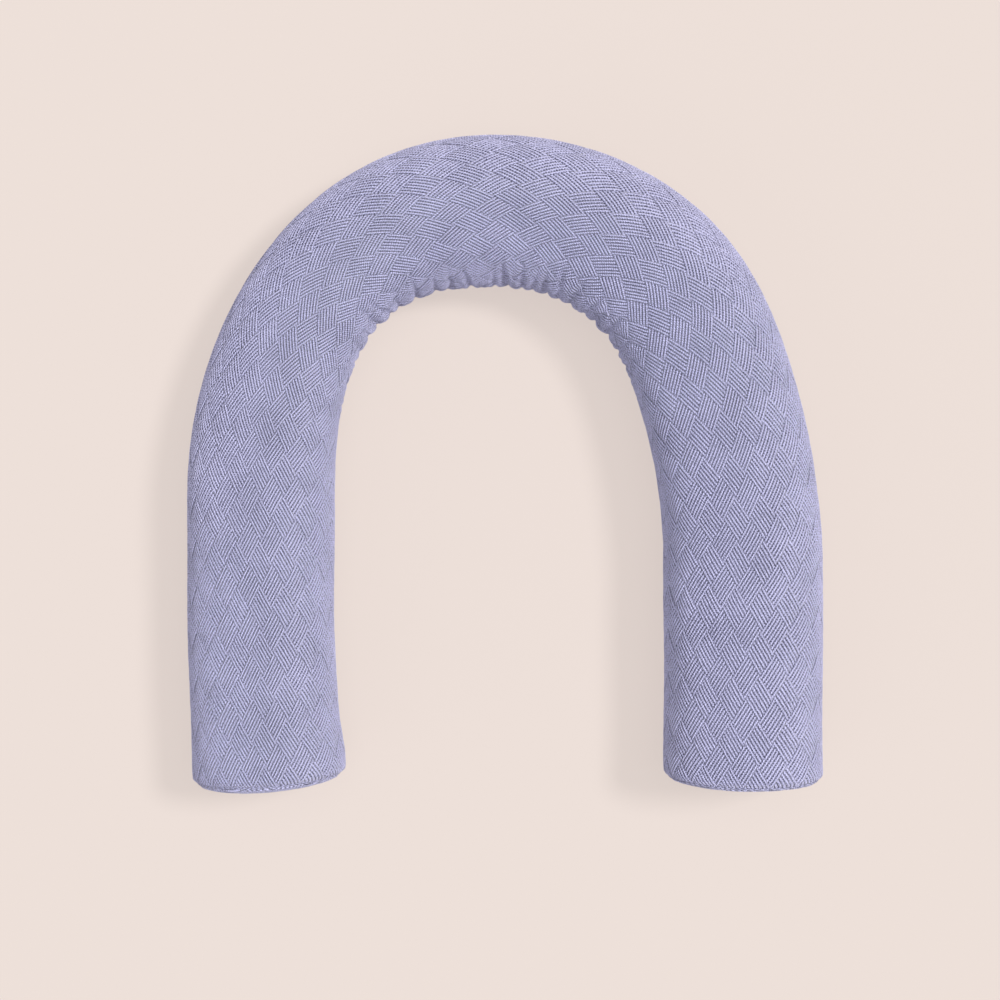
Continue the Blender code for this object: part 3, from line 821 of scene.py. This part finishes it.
def soft_pieces():
    knit = knit_material()
    thread = thread_material()
    points, normals = cover_surface()
    cover = make_cover(points, knit)
    bend(cover)
    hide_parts("cover_tube_left", "cover_tube_right")
    end_pieces(points, normals, knit, thread)
    seam_column = int(SEAM_ANGLE / math.tau * COLUMNS) % COLUMNS
    open_rows = np.flatnonzero(opening_rows() > 0.5)
    main_rows, foot_rows = slice(4, open_rows[0] - 3), slice(open_rows[-1] + 4, -4)
    for word, rows in (("main", main_rows), ("foot", foot_rows)):
        facing = normals[rows, seam_column]
        path = points[rows, seam_column] + facing * STITCH_RAISE
        stitches = make_stitches("seam_stitches_" + word, path, facing, SEAM_STITCH, thread)
        if word == "main":
            bend(stitches)
        else:
            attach(stitches, "right_half")
    liner_cloth = cloth_material("liner_cloth", (0.80, 0.80, 0.78, 1.0))
    liner = make_tube("liner_bag", LINER_INSET, liner_cloth)
    bend(liner)
    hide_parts("liner_tube_left", "liner_tube_right", "liner_end_left", "liner_end_right")
    beads = make_tube("filling_beads", FILLING_INSET, bead_material())
    bend(beads)
    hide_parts("filling_left", "filling_right")


def bead_material():
    n = Nodes("filling_beads")
    coordinates = n.tree.nodes.new("ShaderNodeTexCoord").outputs["Object"]
    cells = n.tree.nodes.new("ShaderNodeTexVoronoi")
    n.put(cells.inputs["Vector"], coordinates)
    cells.inputs["Scale"].default_value = 400.0
    distance = cells.outputs["Distance"]
    n.bump(n.math("SUBTRACT", 1.0, distance), 0.001, 0.8)
    # Darker towards each bead's rim: painted shade in the gaps between the beads.
    colour = n.mix(distance, (0.93, 0.93, 0.92, 1.0), (0.62, 0.62, 0.60, 1.0))
    return n.set(Base_Color=colour, Roughness=0.7)


# ---------------------------------------------------------------- the zip

COIL_WIRE = 0.00032
COIL_PITCH = 0.00125
STOP_BEVEL = 0.0003
PLATE_THICKNESS = 0.0010
PLATE_BEVEL = 0.0003
PIVOT_HEIGHT = 0.00075
FLANGE_WIDTH = 0.0006
FLANGE_INSET = 0.0009
FLANGE_DEPTH = 0.0018
FLANGE_SINK = 0.0002
FLANGE_BEVEL = 0.0001
BRIDGE_HALF = 0.0030
BRIDGE_RISE = 0.0018
BRIDGE_RADIUS = 0.00045
BRIDGE_SINK = 0.0002
TAB_LENGTH = 0.0146
TAB_WIDTH = 0.0048
TAB_THICKNESS = 0.0009
TAB_RIM = 0.0022
TAB_BEVEL = 0.00018
INNERMOST = 9.0

ACROSS = np.array(joints["pull_tab_swing"]["axis"])
OUT = np.array([-ACROSS[2], 0.0, ACROSS[0]])
ALONG = np.array([0.0, 1.0, 0.0])


def zip_box(node):
    """A zip node's middle, and its size across, along and out of the zip."""
    low, high = (np.array(corner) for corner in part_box(node))
    span = high - low
    turn = np.array([[abs(ACROSS[0]), abs(OUT[0])], [abs(ACROSS[2]), abs(OUT[2])]])
    across, out = np.linalg.solve(turn, span[[0, 2]])
    return (low + high) / 2, np.array([across, span[1], out])


def zip_points(middle, local):
    """Row frame points from points given across, along and out of the zip."""
    return middle + local @ np.stack([ACROSS, ALONG, OUT])


def rounded_plate(outline, low, high, bevel):
    """A plate with bevelled rims: rings of an outline (across, along) at rising heights. The first
    and last ring are inset past the middle, which closes the plate."""
    outline = np.asarray(outline)
    middle = outline.mean(axis=0)
    reach = np.linalg.norm(outline - middle, axis=1, keepdims=True)
    rings = []
    for inset, height in (
        (INNERMOST, low), (bevel, low), (0.0, low + bevel),
        (0.0, high - bevel), (bevel, high), (INNERMOST, high),
    ):
        ring = middle + (outline - middle) * np.maximum(1.0 - inset / reach, 0.0)
        rings.append(np.column_stack([ring, np.full(len(ring), height)]))
    return np.stack(rings)


def add_rings(name, groups, middle, material):
    """One mesh from several stacks of rings."""
    points, faces, base = [], [], 0
    for rings in groups:
        row, column = grid_faces(len(rings), rings.shape[1], closed=True)
        faces.append(base + row * rings.shape[1] + column % rings.shape[1])
        points.append(rings.reshape(-1, 3))
        base += rings.shape[0] * rings.shape[1]
    placed = zip_points(middle, np.concatenate(points))
    thing = add_mesh(name, placed, np.concatenate(faces), material)
    thing.data.set_sharp_from_angle(angle=math.radians(35))
    return thing


def oval(width, length, count=40, power=4.0, taper=0.0):
    """A rounded outline, narrower towards its far end by the taper."""
    turn = np.linspace(0.0, math.tau, count, endpoint=False)
    c, s = np.cos(turn), np.sin(turn)
    x = np.sign(c) * np.abs(c) ** (2 / power) * width / 2
    y = np.sign(s) * np.abs(s) ** (2 / power) * length / 2
    return np.stack([x * (1.0 - taper * (y / length + 0.5)), y], axis=1)


def zip_tapes(material):
    for word in ("lower", "upper"):
        middle, size = zip_box("zip_tape_" + word)
        x = np.linspace(-0.5, 0.5, 13)[:, None] * size[0]
        y = np.linspace(-0.5, 0.5, 121)[None, :] * size[1]
        x, y = np.broadcast_arrays(x, y)
        sides = []
        for face in (1.0, -1.0):
            z = face * size[2] * 0.4 + 0.00008 * np.sin(y * 900.0 + x * 300.0)
            sides.append(np.stack([x, y, z], axis=-1))
        front, back = sides
        points = np.concatenate([front, back[::-1]], axis=0)
        row, column = grid_faces(len(points) + 1, points.shape[1], closed=False)
        faces = (row % len(points)) * points.shape[1] + column
        uv = np.stack([row * size[0] / 12, column * size[1] / 120], axis=-1)
        placed = zip_points(middle, points.reshape(-1, 3))
        tape = add_mesh("tape_" + word, placed, faces, material, uv)
        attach(tape, "right_half")
        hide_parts("zip_tape_" + word)


def zip_coils(material):
    """Each coil is one helix of monofilament, sewn along its tape's edge."""
    for word in ("lower", "upper"):
        middle, size = zip_box("zip_coil_" + word)
        turns = int(size[1] / COIL_PITCH)
        t = np.linspace(0.0, turns * math.tau, turns * 12)
        local = np.stack([
            np.cos(t) * (size[0] / 2 - COIL_WIRE),
            (t / t[-1] - 0.5) * (size[1] - 2 * COIL_WIRE),
            np.sin(t) * (size[2] / 2 - COIL_WIRE),
        ], axis=1)
        path = zip_points(middle, local)
        coil = make_rope("coil_" + word, path, COIL_WIRE, material, closed=False, sides=6)
        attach(coil, "right_half")
        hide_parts("zip_coil_" + word)


def zip_stops(material):
    for node in ("zip_top_stop_lower", "zip_top_stop_upper", "zip_bottom_stop"):
        middle, size = zip_box(node)
        outline = oval(size[0], size[1], power=6.0)
        rings = rounded_plate(outline, -size[2] / 2, size[2] / 2, STOP_BEVEL)
        stop = add_rings(node.replace("zip_", ""), [rings], middle, material)
        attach(stop, "right_half")
        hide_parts(node)


def zip_slider(material):
    """Two shield-shaped plates, side flanges, and the arch that holds the tab."""
    middle, size = zip_box("zip_slider")
    bottom = -size[2] / 2
    pivot = (np.array(joints["pull_tab_swing"]["pos_m"]) - middle) @ OUT
    plate_top = pivot - PIVOT_HEIGHT
    plate_under = plate_top - PLATE_THICKNESS
    shield = oval(size[0], size[1], power=5.0, taper=0.18)
    upper = rounded_plate(shield, plate_under, plate_top, PLATE_BEVEL)
    under = rounded_plate(shield, bottom, bottom + PLATE_THICKNESS, PLATE_BEVEL)
    groups = [upper, under]
    for side in (-1.0, 1.0):
        flange = oval(FLANGE_WIDTH, size[1] * 0.80, count=16, power=4.0)
        flange = flange + (side * (size[0] / 2 - FLANGE_INSET), 0.0)
        low, high = plate_under - FLANGE_DEPTH, plate_top - FLANGE_SINK
        groups.append(rounded_plate(flange, low, high, FLANGE_BEVEL))
    slider = add_rings("slider_body", groups, middle, material)
    turn = np.linspace(0.0, math.pi, 15)
    height = plate_top - BRIDGE_SINK + np.sin(turn) ** 0.6 * BRIDGE_RISE
    arch = np.stack([np.zeros(len(turn)), np.cos(turn) * BRIDGE_HALF, height], axis=1)
    path = zip_points(middle, arch)
    bridge = make_rope("slider_bridge", path, BRIDGE_RADIUS, material, closed=False)
    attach(slider, "slider")
    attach(bridge, "slider")
    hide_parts("zip_slider")


def zip_tab(material):
    """A pull tab with a window, standing out from the slider."""
    pivot = np.array(joints["pull_tab_swing"]["pos_m"])
    low, high = (np.array(corner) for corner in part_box("zip_pull_tab"))
    corners = [(x, pivot[1], z) for x in (low[0], high[0]) for z in (low[2], high[2])]
    length = min(max((np.array(corners) - pivot) @ OUT), TAB_LENGTH)
    outer = oval(TAB_WIDTH, length, count=48, power=3.4)
    inner = oval(TAB_WIDTH - TAB_RIM, length * 0.42, count=48, power=4.0)
    half, bevel = TAB_THICKNESS / 2, TAB_BEVEL
    inner[:, 1] -= length * 0.20
    outer[:, 1] += length * 0.5 - half
    inner[:, 1] += length * 0.5 - half
    centre = outer.mean(axis=0)
    hole = inner.mean(axis=0)
    rings = []
    for outline, about, inset, height in (
        (inner, hole, 0.0, -half + bevel), (inner, hole, -bevel, -half),
        (outer, centre, bevel, -half), (outer, centre, 0.0, -half + bevel),
        (outer, centre, 0.0, half - bevel), (outer, centre, bevel, half),
        (inner, hole, -bevel, half), (inner, hole, 0.0, half - bevel),
        (inner, hole, 0.0, -half + bevel),
    ):
        reach = np.linalg.norm(outline - about, axis=1, keepdims=True)
        ring = about + (outline - about) * (1.0 - inset / reach)
        rings.append(np.column_stack([ring[:, 0], np.full(len(ring), height), ring[:, 1]]))
    tab = add_rings("pull_tab", [np.stack(rings)[::-1]], pivot, material)
    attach(tab, "pull_tab")
    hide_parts("zip_pull_tab")


# ---------------------------------------------------------------- the stage


def make_stage():
    corners = ((-1, -1), (1, -1), (1, 1), (-1, 1))
    points = [(x * FLOOR_HALF, y * FLOOR_HALF, FLOOR_HEIGHT) for x, y in corners]
    n = Nodes("floor")
    n.set(Base_Color=(0.207, 0.182, 0.167, 1.0), Roughness=0.95, Specular_IOR_Level=0.0,
          Emission_Color=(0.847, 0.742, 0.688, 1.0), Emission_Strength=0.703)
    floor = add_mesh("floor", points, [(0, 1, 2, 3)], n.material)
    world = bpy.data.worlds.new("room")
    world.use_nodes = True
    background = world.node_tree.nodes["Background"]
    background.inputs["Color"].default_value = (0.94, 0.96, 1.0, 1.0)
    background.inputs["Strength"].default_value = 0.34
    bpy.context.scene.world = world
    add_sun("overhead", (0.06, 0.04, 1.0), 0.85, 40)
    add_sun("key", (0.78, 0.26, 1.42), 2.05, 12)
    add_sun("fill", (-0.84, -0.70, 0.60), 0.55, 60, (0.84, 0.88, 1.0))
    bpy.context.scene.view_settings.view_transform = "Standard"


def add_sun(name, towards, strength, spread, colour=(1.0, 1.0, 1.0)):
    sun = bpy.data.lights.new(name, "SUN")
    sun.color = colour
    sun.energy = strength
    sun.angle = math.radians(spread)
    thing = bpy.data.objects.new(name, sun)
    thing.rotation_euler = Vector(towards).to_track_quat("Z", "Y").to_euler()
    bpy.context.scene.collection.objects.link(thing)


def make_camera():
    camera = bpy.data.cameras.new("camera")
    camera.lens = 100.0
    camera.sensor_width = 36.0
    camera.clip_end = 100.0
    viewer = bpy.data.objects.new("camera", camera)
    viewer.location = (-0.005, -0.041, 3.14)
    bpy.context.scene.collection.objects.link(viewer)
    bpy.context.scene.camera = viewer


def main():
    soft_pieces()
    metal = metal_material()
    zip_tapes(cloth_material("zip_tape", (0.40, 0.39, 0.56, 1.0), 900.0))
    zip_coils(plastic_material())
    zip_stops(metal)
    zip_slider(metal)
    zip_tab(metal)
    make_stage()
    make_camera()


main()
